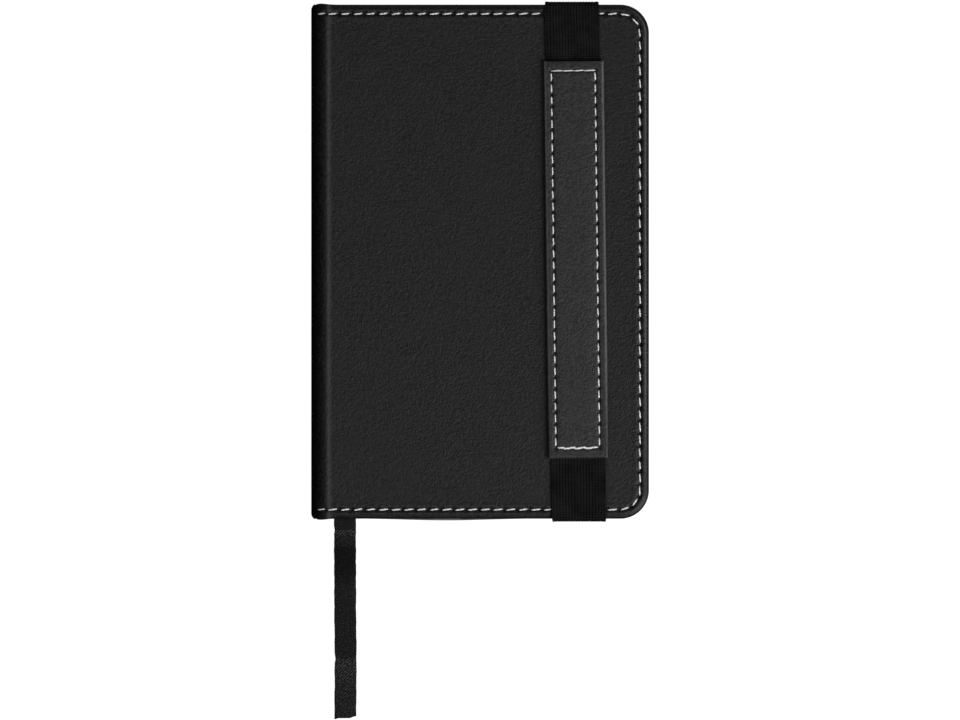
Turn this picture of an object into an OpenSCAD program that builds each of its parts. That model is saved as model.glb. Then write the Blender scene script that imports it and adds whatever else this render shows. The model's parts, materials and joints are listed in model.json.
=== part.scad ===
// Pocket notebook, casebound, with an elastic closure strap and a ribbon marker.
// It lies on its back cover. +X runs from the spine to the fore-edge, +Y from tail to head, +Z up.
// The origin is under the middle of the covers, on the surface that the notebook lies on.

/* [Covers] */
// Width of a cover, from the spine to the fore-edge
cover_w = 92; // [76:1:112]
// Height of a cover, from tail to head
cover_h = 140; // [115:1:170]
// Radius of the two fore-edge corners
cover_corner_r = 7.8; // [6:0.1:14]
// Radius of the two corners beside the spine
spine_corner_r = 1.5; // [0.8:0.1:2]
// Radius of the roll from the spine onto the face of a cover
shoulder_r = 4.7; // [3.5:0.1:5.5]
// Thickness of the greyboard in a cover
board_t = 1.5; // [1.2:0.1:2.5]
// Thickness of the leatherette
skin_t = 0.6; // [0.5:0.05:0.9]
// Thickness of the lining paper pasted inside a cover
lining_t = 0.3; // [0.2:0.05:0.4]
// Width of the leatherette that shows round the lining
turn_in_w = 3; // [2.5:0.5:6]

/* [Pages] */
// Number of sewn signatures
signature_count = 12; // [8:1:16]
// Signatures in front of the ribbon marker
front_signature_count = 3; // [1:1:6]
// Leaves in one signature
leaf_count = 8; // [4:4:16]
// Thickness of one leaf
leaf_t = 0.1; // [0.08:0.01:0.12]
// Thickness of a flyleaf
flyleaf_t = 0.15; // [0.1:0.01:0.25]
// Distance from the edge of a page to the edge of the cover
page_inset = 2; // [1.5:0.25:4]

/* [Spine] */
// Thickness of the leatherette over the spine
spine_skin_t = 0.5; // [0.4:0.05:0.8]
// Thickness of the stiffening strip under it
stiffener_t = 0.4; // [0.3:0.05:0.8]
// Thickness of the cloth glued to the folds
spine_cloth_t = 0.25; // [0.15:0.05:0.4]
// Diameter of the bead along a head or tail band
band_bead_d = 1.1; // [0.8:0.1:1.5]
// Diameter of the sewing thread
thread_d = 0.45; // [0.3:0.05:0.6]
// Number of sewing stations along the spine
sewing_stations = 5; // [3:1:7]

/* [Cover stitching] */
// Distance from the edge of the cover to the line of stitches
stitch_inset = 2.5; // [2:0.1:4]
// Distance from one stitch to the next
stitch_pitch = 3.5; // [3:0.1:5]
// Length of one stitch that shows
stitch_l = 2.3; // [1.5:0.1:2.6]
// Width of the thread in a stitch
stitch_w = 0.45; // [0.3:0.05:0.6]
// Depth that the stitches are pulled into the leatherette
stitch_depth = 0.35; // [0.2:0.05:0.4]

/* [Closure strap] */
// Width of the elastic
elastic_w = 15; // [10:0.5:18]
// Thickness of the elastic
elastic_t = 0.8; // [0.6:0.05:1]
// Distance from the fore-edge to the middle of the elastic, at the head
strap_in_at_head = 20.7; // [16:0.1:30]
// Distance from the fore-edge to the middle of the elastic, at the tail
strap_in_at_tail = 19; // [16:0.1:30]
// Width of the leatherette panel on the elastic
panel_w = 16.4; // [13:0.1:20]
// Length of the panel
panel_l = 108.2; // [80:0.1:112]
// Thickness of the panel's leatherette
panel_skin_t = 0.7; // [0.6:0.05:1]
// Thickness of the card inside the panel
panel_card_t = 0.5; // [0.3:0.05:0.8]
// Distance from one panel stitch to the next
panel_stitch_pitch = 3.2; // [2.8:0.1:4.5]
// Length of one panel stitch that shows
panel_stitch_l = 2; // [1.5:0.1:2.2]

/* [Ribbon marker] */
// Width of the ribbon
ribbon_w = 6; // [4:0.5:8]
// Thickness of the ribbon
ribbon_t = 0.25; // [0.15:0.05:0.3]
// Distance from the spine to the middle of the ribbon
ribbon_from_spine = 9.2; // [8:0.1:30]

/* [Clearances] */
// Gap between the block and each cover
cover_gap = 0.1; // [0.05:0.05:0.3]
// Gap between a cover and the end of the spine cover at its hinge line
hinge_gap = 0.05; // [0.05:0.05:0.2]
// Gap round the elastic
elastic_gap = 0.05; // [0.05:0.05:0.2]
// Gap over the ribbon, and beside the folds of the front signatures
page_gap = 0.1; // [0.05:0.05:0.2]

/* [Hidden] */
$fn = 64;
half_w = cover_w / 2;
half_h = cover_h / 2;
cover_t = lining_t + board_t + skin_t;
signature_t = leaf_count * leaf_t;

// Heights, from the surface up
back_flyleaf_z = cover_t + cover_gap;
rear_block_z = back_flyleaf_z + flyleaf_t;
rear_block_top = rear_block_z + (signature_count - front_signature_count) * signature_t;
front_block_z = rear_block_top + ribbon_t + page_gap;
front_flyleaf_z = front_block_z + front_signature_count * signature_t;
front_cover_z = front_flyleaf_z + flyleaf_t + cover_gap;
elastic_front_z = front_cover_z + cover_t + elastic_gap;
elastic_back_z = skin_t + board_t - elastic_gap - elastic_t;
panel_z = elastic_front_z + elastic_t;

// Places across the spine
stiffener_x = -half_w + spine_skin_t;
spine_cloth_x = stiffener_x + stiffener_t;
fold_x = spine_cloth_x + spine_cloth_t;
front_fold_x = fold_x + page_gap / 2;
spine_bottom_z = cover_t + hinge_gap;
spine_top_z = front_cover_z - hinge_gap;
spine_strip_inset = 0.6;
book_top_z = front_cover_z + cover_t;
shoulder_x = -half_w + shoulder_r;
stiffener_inset = shoulder_r - spine_bottom_z;

// Pages
page_x = half_w - page_inset;
page_half_h = half_h - page_inset;
page_corner_r = cover_corner_r - page_inset;
kerf_gap = 0.08;
kerf_r = thread_d / 2 + kerf_gap;
thread_x = thread_d / 2;
sewing_margin = 12;
sewing_pitch = 2 * (page_half_h - sewing_margin) / (sewing_stations - 1);

// Lining and board
lining_from_spine = 1.2;
channel_side_gap = 0.2;
cut = 1;

// Cover stitching
groove_margin = 0.2;
groove_w = stitch_w + 2 * groove_margin;
stitch_from_shoulder = 0.4;
stitch_start_x = shoulder_x + stitch_from_shoulder;
stitch_corner_x = half_w - cover_corner_r;
stitch_corner_y = half_h - cover_corner_r;
stitch_r = cover_corner_r - stitch_inset;
edge_run = stitch_corner_x - stitch_start_x;
corner_run = PI / 2 * stitch_r;
side_run = 2 * stitch_corner_y;
stitch_run = 2 * edge_run + 2 * corner_run + side_run;
stitch_count = floor(stitch_run / stitch_pitch);
stitch_step = stitch_run / stitch_count;

// Closure strap
elastic_head_x = half_w - strap_in_at_head;
elastic_tail_x = half_w - strap_in_at_tail;
elastic_half_h = half_h + elastic_gap + elastic_t;
strap_angle = atan((elastic_tail_x - elastic_head_x) / (2 * elastic_half_h));
panel_t = panel_skin_t + panel_card_t;
panel_corner_r = 0.8;
panel_mid_y = 0.5;
panel_mid_x = (elastic_head_x + elastic_tail_x) / 2 - panel_mid_y * tan(strap_angle);
panel_card_inset = 1;
panel_groove_margin = 0.15;
panel_groove_w = stitch_w + 2 * panel_groove_margin;
panel_groove_d = 0.3;
panel_stitch_left = 2.05;
panel_stitch_right = 2.45;
panel_stitch_end = 2.6;

// Ribbon marker
ribbon_x = -half_w + ribbon_from_spine;
ribbon_z = rear_block_top + ribbon_t / 2;
ribbon_rest_gap = 0.05;
ribbon_rest_z = ribbon_t / 2 + ribbon_rest_gap;
ribbon_exit = 0.8;
ribbon_inside_end = 0.6;
ribbon_from_head = 4;
ribbon_slant = 14;
ribbon_anchor_extra = 2;
ribbon_anchor_y = page_half_h - ribbon_from_head;
ribbon_turn_y = ribbon_anchor_y - ribbon_slant;
// Route of the free end: sideways, out past the tail, and the share of the drop still to go
ribbon_route = [
    [0, 0, 1], [0, 2.7, 0.97], [0, 5.4, 0.89], [0, 7.8, 0.75], [0, 9.9, 0.58],
    [0, 11.6, 0.4], [0, 13.6, 0.24], [0, 15.9, 0.11], [0, 18.5, 0.03], [0, 21.3, 0],
    [0, 25, 0], [0.05, 29, 0], [0.1, 33, 0], [0.1, 37, 0], [0.1, 41, 0],
    [0.1, 45, 0], [0.05, 49, 0], [0.05, 53.6, 0]
];

function signature_name(i) = str("signature_", i < 10 ? "0" : "", i);
front_signatures = [for (i = [1 : front_signature_count]) i];
rear_signatures = [for (i = [front_signature_count + 1 : signature_count]) i];

// Outline of a cover or a page: square to the spine, with two round fore-edge corners
module book_outline(x_spine, x_fore, y_half, fore_r, spine_r) {
    translate([x_spine + spine_r, -y_half])
        square([x_fore - fore_r - x_spine - spine_r, 2 * y_half]);
    translate([x_spine, -y_half + spine_r])
        square([x_fore - fore_r - x_spine, 2 * (y_half - spine_r)]);
    translate([x_fore - fore_r, -y_half + fore_r])
        square([fore_r, 2 * (y_half - fore_r)]);
    for (side = [-1, 1]) {
        translate([x_fore - fore_r, side * (y_half - fore_r)]) circle(r = fore_r);
        if (spine_r > 0)
            translate([x_spine + spine_r, side * (y_half - spine_r)]) circle(r = spine_r);
    }
}

// Everything under the roll of the shoulder and the face of a cover, both moved in by a distance
module under_shoulder(inset) {
    translate([shoulder_x, 0, cover_t - shoulder_r]) rotate([90, 0, 0])
        linear_extrude(cover_h + 2 * cut, center = true) {
            circle(r = shoulder_r - inset);
            square([cover_w, shoulder_r - inset]);
        }
}

// A whole cover with its inner face at z = 0 and its outer face up
module cover_body() {
    intersection() {
        linear_extrude(cover_t)
            book_outline(-half_w, half_w, half_h, cover_corner_r, spine_corner_r);
        under_shoulder(0);
    }
}

module cover_board() {
    intersection() {
        translate([0, 0, lining_t]) linear_extrude(board_t)
            book_outline(-half_w + skin_t, half_w - skin_t, half_h - skin_t,
                         cover_corner_r - skin_t, spine_corner_r - skin_t);
        under_shoulder(skin_t);
    }
}

module cover_lining() {
    linear_extrude(lining_t)
        book_outline(-half_w + lining_from_spine, half_w - turn_in_w, half_h - turn_in_w,
                     cover_corner_r - turn_in_w, 0);
}

// Outline at the line of stitches, moved in by a distance
module stitch_outline(inset) {
    book_outline(-half_w, half_w - inset, half_h - inset, cover_corner_r - inset, 0);
}

module stitch_groove() {
    translate([0, 0, cover_t - stitch_depth]) linear_extrude(stitch_depth + cut)
        difference() {
            stitch_outline(stitch_inset - groove_w / 2);
            stitch_outline(stitch_inset + groove_w / 2);
            translate([-half_w - cut, -half_h]) square([stitch_start_x + half_w + cut, cover_h]);
        }
}

// Place and direction of a stitch at a distance along the line, from the head round to the tail
function stitch_place(s) =
    s < edge_run ? [stitch_start_x + s, half_h - stitch_inset, 0] :
    s < edge_run + corner_run ? corner_place((s - edge_run) / stitch_r * 180 / PI) :
    s < edge_run + corner_run + side_run ?
        [half_w - stitch_inset, stitch_corner_y - (s - edge_run - corner_run), -90] :
    s < stitch_run - edge_run ?
        mirrored(corner_place((stitch_run - edge_run - s) / stitch_r * 180 / PI)) :
        [stitch_start_x + stitch_run - s, stitch_inset - half_h, 180];
function corner_place(a) =
    [stitch_corner_x + stitch_r * sin(a), stitch_corner_y + stitch_r * cos(a), -a];
function mirrored(place) = [place[0], -place[1], -place[2]];

module stitch(length, width, depth) {
    translate([-length / 2, -width / 2, 0]) cube([length, width, depth]);
}

module cover_stitches() {
    translate([0, 0, cover_t - stitch_depth])
        for (i = [0 : stitch_count - 1]) {
            place = stitch_place((i + 0.5) * stitch_step);
            translate([place[0], place[1], 0]) rotate([0, 0, place[2]])
                stitch(stitch_l, stitch_w, stitch_depth);
        }
}

// Leatherette wrapped round the board, with its turned-in border inside
module cover_skin() {
    difference() {
        cover_body();
        cover_board();
        cover_lining();
        stitch_groove();
    }
}

// The front cover stands as drawn; the back cover is its mirror image, face down
module in_front() {
    translate([0, 0, front_cover_z]) children();
}

module in_back() {
    translate([0, 0, cover_t]) mirror([0, 0, 1]) children();
}

module front_cover_skin() {
    color("#242427") in_front() cover_skin();
}

module front_board() {
    color("#8d8778") in_front() cover_board();
}

module front_pastedown() {
    color("#e9e4d4") in_front() cover_lining();
}

module front_stitching() {
    color("#e6e6e2") in_front() cover_stitches();
}

// Space for the hidden run of the elastic: a channel in the back board and a slit at each edge
module elastic_channel(length) {
    side = elastic_w / 2 + channel_side_gap;
    translate([0, 0, elastic_back_z - elastic_gap])
        linear_extrude(elastic_t + 2 * elastic_gap)
            polygon([
                for (end = [1, -1], across = [-end, end])
                    [elastic_x(end * length / 2) + across * side, end * length / 2]
            ]);
}

module back_cover_skin() {
    color("#242427") difference() {
        in_back() cover_skin();
        elastic_channel(cover_h + 2 * cut);
    }
}

module back_board() {
    color("#8d8778") difference() {
        in_back() cover_board();
        elastic_channel(cover_h + 2 * cut);
    }
}

module back_pastedown() {
    color("#e9e4d4") in_back() cover_lining();
}

module back_stitching() {
    color("#e6e6e2") in_back() cover_stitches();
}

// Sawn notches across the folds that hold the sewing thread
module thread_stations(x, z, height, radius) {
    for (i = [0 : sewing_stations - 1])
        translate([x + thread_x, -page_half_h + sewing_margin + i * sewing_pitch, z])
            cylinder(h = height, r = radius, $fn = 32);
}

// One signature: folded leaves with a round back at the fold
module signature(x, z) {
    difference() {
        union() {
            translate([0, 0, z]) linear_extrude(signature_t)
                book_outline(x + signature_t / 2, page_x, page_half_h, page_corner_r, 0);
            translate([x + signature_t / 2, 0, z + signature_t / 2]) rotate([90, 0, 0])
                cylinder(h = 2 * page_half_h, r = signature_t / 2, center = true);
        }
        thread_stations(x, z - cut, signature_t + 2 * cut, kerf_r);
    }
}

module front_signature(i) {
    color("#efe9d8")
        signature(front_fold_x, front_block_z + (front_signature_count - i) * signature_t);
}

module rear_signature(i) {
    color("#efe9d8") signature(fold_x, rear_block_z + (signature_count - i) * signature_t);
}

module front_flyleaf() {
    color("#e9e4d4") translate([0, 0, front_flyleaf_z]) linear_extrude(flyleaf_t)
        book_outline(front_fold_x, page_x, page_half_h, page_corner_r, 0);
}

module back_flyleaf() {
    color("#e9e4d4") translate([0, 0, back_flyleaf_z]) linear_extrude(flyleaf_t)
        book_outline(fold_x, page_x, page_half_h, page_corner_r, 0);
}

module front_sewing_thread() {
    color("#f4f2ea")
        thread_stations(front_fold_x, front_block_z, front_flyleaf_z - front_block_z, thread_d / 2);
}

module sewing_thread() {
    color("#f4f2ea")
        thread_stations(fold_x, rear_block_z, rear_block_top - rear_block_z, thread_d / 2);
}

module spine_plate(x, thickness, z_inset, y_inset) {
    translate([x, -half_h + y_inset, spine_bottom_z + z_inset])
        cube([thickness, cover_h - 2 * y_inset, spine_top_z - spine_bottom_z - 2 * z_inset]);
}

// Section of the closed book at the spine, moved in by a distance: flat, with a roll at each shoulder
module spine_section(inset) {
    for (z = [shoulder_r, book_top_z - shoulder_r])
        translate([shoulder_x, z]) circle(r = shoulder_r - inset);
    translate([-half_w + inset, shoulder_r])
        square([shoulder_r - inset, book_top_z - 2 * shoulder_r]);
}

module spine_cover() {
    color("#1c1c1e") intersection() {
        rotate([90, 0, 0]) linear_extrude(cover_h, center = true) difference() {
            spine_section(0);
            spine_section(spine_skin_t);
        }
        translate([-half_w, -half_h, spine_bottom_z])
            cube([shoulder_r, cover_h, spine_top_z - spine_bottom_z]);
    }
}

module spine_stiffener() {
    color("#8d8778") spine_plate(stiffener_x, stiffener_t, stiffener_inset, spine_strip_inset);
}

module spine_cloth() {
    color("#dcd8cc") spine_plate(spine_cloth_x, spine_cloth_t, spine_strip_inset, page_inset);
}

// Woven band with a beaded edge, glued to the folds beyond the pages
module end_band(side) {
    y = side * (page_half_h + band_bead_d / 2);
    translate([fold_x + band_bead_d / 2, y, rear_block_z])
        cylinder(h = front_flyleaf_z - rear_block_z, r = band_bead_d / 2, $fn = 32);
}

module head_band() {
    color("#1e1e20") end_band(1);
}

module tail_band() {
    color("#1e1e20") end_band(-1);
}

// Middle of the elastic at a height on the cover
function elastic_x(y) = (elastic_head_x + elastic_tail_x) / 2 - y * tan(strap_angle);

module elastic_run(z) {
    side = elastic_w / 2;
    translate([0, 0, z]) linear_extrude(elastic_t)
        polygon([
            for (end = [1, -1], across = [-end, end])
                [elastic_x(end * elastic_half_h) + across * side, end * elastic_half_h]
        ]);
}

module elastic_end(side) {
    y = side > 0 ? half_h + elastic_gap : -elastic_half_h;
    translate([elastic_x(side * elastic_half_h) - elastic_w / 2, y, elastic_back_z])
        cube([elastic_w, elastic_t, elastic_front_z + elastic_t - elastic_back_z]);
}

// A closed loop: the front run shows, the back run lies in the back cover under its lining
module elastic_band() {
    color("#0f0f10") union() {
        elastic_run(elastic_front_z);
        elastic_run(elastic_back_z);
        elastic_end(1);
        elastic_end(-1);
    }
}

module on_strap() {
    translate([panel_mid_x, panel_mid_y, panel_z]) rotate([0, 0, strap_angle]) children();
}

// A rectangle on the panel, given by how far in each side lies
module panel_outline(left, right, ends, corner_r) {
    x0 = -panel_w / 2 + left;
    x1 = panel_w / 2 - right;
    y1 = panel_l / 2 - ends;
    translate([x0 + corner_r, -y1]) square([x1 - x0 - 2 * corner_r, 2 * y1]);
    translate([x0, -y1 + corner_r]) square([x1 - x0, 2 * (y1 - corner_r)]);
    for (x = [x0 + corner_r, x1 - corner_r], y = [-y1 + corner_r, y1 - corner_r])
        if (corner_r > 0) translate([x, y]) circle(r = corner_r);
}

module panel_card_shape() {
    linear_extrude(panel_card_t)
        panel_outline(panel_card_inset, panel_card_inset, panel_card_inset, 0);
}

module panel_groove() {
    half = panel_groove_w / 2;
    translate([0, 0, panel_t - panel_groove_d]) linear_extrude(panel_groove_d + cut)
        difference() {
            panel_outline(panel_stitch_left - half, panel_stitch_right - half,
                          panel_stitch_end - half, 0);
            panel_outline(panel_stitch_left + half, panel_stitch_right + half,
                          panel_stitch_end + half, 0);
        }
}

module strap_panel() {
    color("#323236") on_strap() difference() {
        linear_extrude(panel_t) panel_outline(0, 0, 0, panel_corner_r);
        panel_card_shape();
        panel_groove();
    }
}

module strap_panel_card() {
    color("#8d8778") on_strap() panel_card_shape();
}

// A straight row of stitches from one point to another, inside both ends
module stitch_row(from, to) {
    run = norm(to - from);
    count = floor((run - panel_stitch_l) / panel_stitch_pitch);
    angle = atan2(to[1] - from[1], to[0] - from[0]);
    for (i = [0 : count - 1]) {
        at = from + (to - from) * (i + 0.5) / count;
        translate([at[0], at[1], 0]) rotate([0, 0, angle])
            stitch(panel_stitch_l, stitch_w, panel_groove_d);
    }
}

module strap_stitching() {
    x0 = -panel_w / 2 + panel_stitch_left;
    x1 = panel_w / 2 - panel_stitch_right;
    y1 = panel_l / 2 - panel_stitch_end;
    color("#e6e6e2") on_strap() translate([0, 0, panel_t - panel_groove_d]) {
        stitch_row([x0, -y1], [x0, y1]);
        stitch_row([x0, y1], [x1, y1]);
        stitch_row([x1, y1], [x1, -y1]);
        stitch_row([x1, -y1], [x0, -y1]);
    }
}

// Hidden stretch of the ribbon: glued at the spine near the head, then straight down to the tail
module ribbon_marker() {
    side = ribbon_w / 2;
    color("#17171a") translate([0, 0, rear_block_top]) linear_extrude(ribbon_t)
        polygon([
            [ribbon_x - side, -half_h - ribbon_inside_end],
            [ribbon_x + side, -half_h - ribbon_inside_end],
            [ribbon_x + side, ribbon_turn_y],
            [fold_x, ribbon_anchor_y],
            [fold_x, ribbon_anchor_y - ribbon_w - ribbon_anchor_extra],
            [ribbon_x - side, ribbon_turn_y - ribbon_w]
        ]);
}

function ribbon_point(p) = [
    ribbon_x + p[0],
    -half_h - ribbon_exit - p[1],
    ribbon_rest_z + p[2] * (ribbon_z - ribbon_rest_z)
];
function unit(v) = v / norm(v);
// Direction of the route at point i
function along(points, i) =
    unit(points[min(i + 1, len(points) - 1)] - points[max(i - 1, 0)]);

// Flat section with eased edges: across the ribbon, then through it
ribbon_section = [
    for (s = [[-1, -0.4], [-0.93, -1], [0.93, -1], [1, -0.4],
              [1, 0.4], [0.93, 1], [-0.93, 1], [-1, 0.4]])
        [s[0] * ribbon_w / 2, s[1] * ribbon_t / 2]
];

// A flat section swept along a list of points, closed at both ends
module flat_sweep(points, section) {
    sides = len(section);
    rings = len(points);
    corners = [
        for (i = [0 : rings - 1], s = section)
            let (t = along(points, i), across = unit([1, 0, 0] - t[0] * t), up = cross(across, t))
                points[i] + s[0] * across - s[1] * up
    ];
    walls = [
        for (i = [0 : rings - 2], k = [0 : sides - 1])
            let (a = i * sides + k, b = i * sides + (k + 1) % sides)
                each [[a, b, b + sides], [a, b + sides, a + sides]]
    ];
    first_cap = [for (k = [sides - 1 : -1 : 0]) k];
    last_cap = [for (k = [0 : sides - 1]) (rings - 1) * sides + k];
    polyhedron(points = corners, faces = concat(walls, [first_cap, last_cap]));
}

// Free end of the ribbon: out over the tail edge, then down to lie on the surface
module ribbon_tail() {
    color("#17171a") flat_sweep([for (p = ribbon_route) ribbon_point(p)], ribbon_section);
}

front_cover_skin();
front_board();
front_pastedown();
front_stitching();
front_flyleaf();
front_sewing_thread();
for (i = front_signatures)
    front_signature(i);
for (i = rear_signatures)
    rear_signature(i);
ribbon_marker();
sewing_thread();
back_flyleaf();
spine_cover();
spine_stiffener();
spine_cloth();
head_band();
tail_band();
back_cover_skin();
back_board();
back_pastedown();
back_stitching();
elastic_band();
strap_panel();
strap_panel_card();
strap_stitching();
ribbon_tail();
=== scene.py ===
import json
import math
import random

import bmesh
import bpy
import numpy as np
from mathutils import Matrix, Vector


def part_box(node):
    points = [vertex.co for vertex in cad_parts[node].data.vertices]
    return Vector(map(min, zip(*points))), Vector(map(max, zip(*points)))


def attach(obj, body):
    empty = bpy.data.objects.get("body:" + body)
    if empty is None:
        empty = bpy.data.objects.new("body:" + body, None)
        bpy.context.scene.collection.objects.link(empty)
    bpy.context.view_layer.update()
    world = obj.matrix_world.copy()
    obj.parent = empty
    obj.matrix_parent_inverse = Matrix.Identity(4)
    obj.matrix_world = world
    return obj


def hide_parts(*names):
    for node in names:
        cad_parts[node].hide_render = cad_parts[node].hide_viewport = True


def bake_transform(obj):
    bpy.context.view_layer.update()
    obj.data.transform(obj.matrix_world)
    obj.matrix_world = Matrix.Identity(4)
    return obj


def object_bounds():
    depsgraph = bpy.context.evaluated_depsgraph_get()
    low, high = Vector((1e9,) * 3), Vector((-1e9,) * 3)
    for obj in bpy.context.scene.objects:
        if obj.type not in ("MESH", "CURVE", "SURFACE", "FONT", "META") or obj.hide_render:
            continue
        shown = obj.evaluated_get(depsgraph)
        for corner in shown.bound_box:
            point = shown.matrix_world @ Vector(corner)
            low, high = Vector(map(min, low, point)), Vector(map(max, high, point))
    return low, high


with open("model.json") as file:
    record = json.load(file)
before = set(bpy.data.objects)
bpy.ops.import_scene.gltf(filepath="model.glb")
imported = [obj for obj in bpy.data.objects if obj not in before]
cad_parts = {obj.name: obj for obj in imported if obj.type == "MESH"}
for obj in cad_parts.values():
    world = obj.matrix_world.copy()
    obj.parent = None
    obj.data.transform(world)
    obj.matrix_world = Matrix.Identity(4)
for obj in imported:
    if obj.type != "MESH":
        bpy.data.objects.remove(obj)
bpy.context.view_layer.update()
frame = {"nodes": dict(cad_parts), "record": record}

# Looks of a casebound pocket notebook with an elastic strap. Lengths are in metres.
MM = 0.001
random.seed(7)
rng = np.random.default_rng(7)

# ------------ sizes from the frame
cover_low, cover_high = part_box("front_cover_skin")
back_low, back_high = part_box("back_cover_skin")
page_low, page_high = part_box("signature_04")
panel_low, panel_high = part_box("strap_panel")
elastic_low, elastic_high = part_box("elastic_band")
ribbon_low, ribbon_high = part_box("ribbon_tail")

HALF_W = cover_high.x
HALF_H = cover_high.y
COVER_T = cover_high.z - cover_low.z
SIGNATURES = sorted(n for n in frame["nodes"] if n.startswith("signature_"))
FRONT_SIGNATURES = [n for n in frame["record"]["behaviour"]["bodies"]["front_pages"] if n in SIGNATURES]

# sizes that the frame doesn't hold, as part.scad has them
CORNER_R = 7.8 * MM
SPINE_CORNER_R = 1.5 * MM
SPINE_ROUND = 1.6 * MM
TURN_IN = 3.0 * MM
LINING_T = 0.3 * MM
LINING_FROM_SPINE = 1.2 * MM
PAGE_CORNER_R = 5.8 * MM
LEAVES = 8
STITCH_INSET = 2.5 * MM
STITCH_PITCH = 3.48 * MM
ELASTIC_W = 15.0 * MM
ELASTIC_T = 0.8 * MM
PANEL_W = 16.4 * MM
PANEL_L = 108.2 * MM
RIBBON_W = 6.0 * MM
RIBBON_T = 0.25 * MM

# the leatherette rolls over the spine edge with this radius; the other edges slope a little, then round off
SHOULDER_R = 4.7 * MM
EDGE_R = 0.6 * MM
EDGE_SLOPE = 0.36
EDGE_SLOPE_IN = 1.2 * MM
# the stitches lie in a groove, and deeper on the back, where the book stands on the leatherette
GROOVE_D = 0.14 * MM
BACK_SINK = 0.22 * MM
SHOULDER_X = -HALF_W + SHOULDER_R
SHOULDER_Z = COVER_T - SHOULDER_R
HINGE_X = SHOULDER_X - math.sqrt(SHOULDER_R ** 2 - SHOULDER_Z ** 2)


# ------------ camera, before anything that can spread
def make_camera():
    low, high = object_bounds()
    centre = (low + high) / 2
    lens, sensor, aspect, margin = 800.0, 36.0, 960 / 720, 1.004
    tall = (high.y - low.y) * margin
    camera_data = bpy.data.cameras.new("camera")
    camera_data.lens = lens
    camera_data.sensor_width = sensor
    camera = bpy.data.objects.new("camera", camera_data)
    bpy.context.scene.collection.objects.link(camera)
    distance = tall * aspect * lens / sensor
    camera.location = (centre.x, centre.y, cover_high.z + distance)
    camera_data.clip_end = 20
    bpy.context.scene.camera = camera


make_camera()


# ------------ mesh helpers
def new_object(name, mesh):
    obj = bpy.data.objects.new(name, mesh)
    bpy.context.scene.collection.objects.link(obj)
    return obj


def finish_mesh(name, bm, sharp_deg=38, merge=2e-6):
    """A smooth-shaded object from a bmesh: doubles merged, normals outward, edges past an angle sharp."""
    bmesh.ops.remove_doubles(bm, verts=bm.verts, dist=merge)
    bmesh.ops.dissolve_degenerate(bm, edges=bm.edges, dist=merge)
    bmesh.ops.recalc_face_normals(bm, faces=bm.faces)
    limit = math.radians(sharp_deg)
    for edge in bm.edges:
        edge.smooth = len(edge.link_faces) == 2 and edge.calc_face_angle(0) < limit
    for face in bm.faces:
        face.smooth = True
    mesh = bpy.data.meshes.new(name)
    bm.to_mesh(mesh)
    bm.free()
    return new_object(name, mesh)


def skin_rings(bm, rings):
    """Quads between closed rings of equal length, with a face over each end."""
    rows = [[bm.verts.new(p) for p in ring] for ring in rings]
    count = len(rows[0])
    for a, b in zip(rows, rows[1:]):
        for k in range(count):
            bm.faces.new((a[k], a[(k + 1) % count], b[(k + 1) % count], b[k]))
    bm.faces.new(rows[0][::-1])
    bm.faces.new(rows[-1])
    return rows


def map_uvs(bm, place):
    """Gives every corner of every face the UV that a function gives for its vertex."""
    layer = bm.loops.layers.uv.new("UVMap")
    for face in bm.faces:
        for loop in face.loops:
            loop[layer].uv = place(loop.vert)


def between(a, b, t):
    """The point of a plane that lies a share of the way from one point to another."""
    return a[0] + (b[0] - a[0]) * t, a[1] + (b[1] - a[1]) * t


def smooth01(t):
    t = np.clip(t, 0.0, 1.0)
    return t * t * (3 - 2 * t)


# ------------ materials
# a wave texture of scale 1 repeats at these distances, along an axis and along the diagonal of X and Y
AXIS_WAVE, DIAGONAL_WAVE = 0.31416, 0.4443
RIB_PITCH = 0.81 * MM
PICK_PITCH = 0.55 * MM
RIBBON_FOLDS = (2.4 * MM, 40.4 * MM)


def new_material(name, roughness, **sockets):
    material = bpy.data.materials.new(name)
    material.use_nodes = True
    nodes = material.node_tree.nodes
    shader = nodes["Principled BSDF"]
    shader.inputs["Roughness"].default_value = roughness
    for key, value in sockets.items():
        shader.inputs[key.replace("_", " ")].default_value = value
    return material, material.node_tree, shader


def add(tree, kind, **settings):
    node = tree.nodes.new(kind)
    for key, value in settings.items():
        if key in node.bl_rna.properties:
            setattr(node, key, value)
        else:
            node.inputs[key.replace("_", " ")].default_value = value
    return node


def ramp(tree, source, stops):
    node = tree.nodes.new("ShaderNodeValToRGB")
    elements = node.color_ramp.elements
    while len(elements) < len(stops):
        elements.new(0.5)
    for element, (position, value) in zip(elements, stops):
        element.position = position
        element.color = (*value, 1) if isinstance(value, tuple) else (value, value, value, 1)
    tree.links.new(source, node.inputs["Fac"])
    return node.outputs["Color"]


def bump_chain(tree, shader, heights):
    """Bump nodes one after another, each from (height socket, strength, distance)."""
    previous = None
    for height, strength, distance in heights:
        bump = add(tree, "ShaderNodeBump")
        bump.inputs["Strength"].default_value = strength
        bump.inputs["Distance"].default_value = distance
        tree.links.new(height, bump.inputs["Height"])
        if previous:
            tree.links.new(previous, bump.inputs["Normal"])
        previous = bump.outputs["Normal"]
    tree.links.new(previous, shader.inputs["Normal"])


def bands(tree, place, axis, pitch, distortion=0.0):
    """A wave texture whose bands repeat at a pitch along X, Y or Z, or along the diagonal of X and Y."""
    scale = (DIAGONAL_WAVE if axis == "DIAGONAL" else AXIS_WAVE) / pitch
    node = add(tree, "ShaderNodeTexWave", wave_type="BANDS", bands_direction=axis, Scale=scale,
               Distortion=distortion, Detail=1.0)
    node.inputs["Detail Scale"].default_value = 2.0
    tree.links.new(place, node.inputs["Vector"])
    return node.outputs["Fac"]


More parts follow.
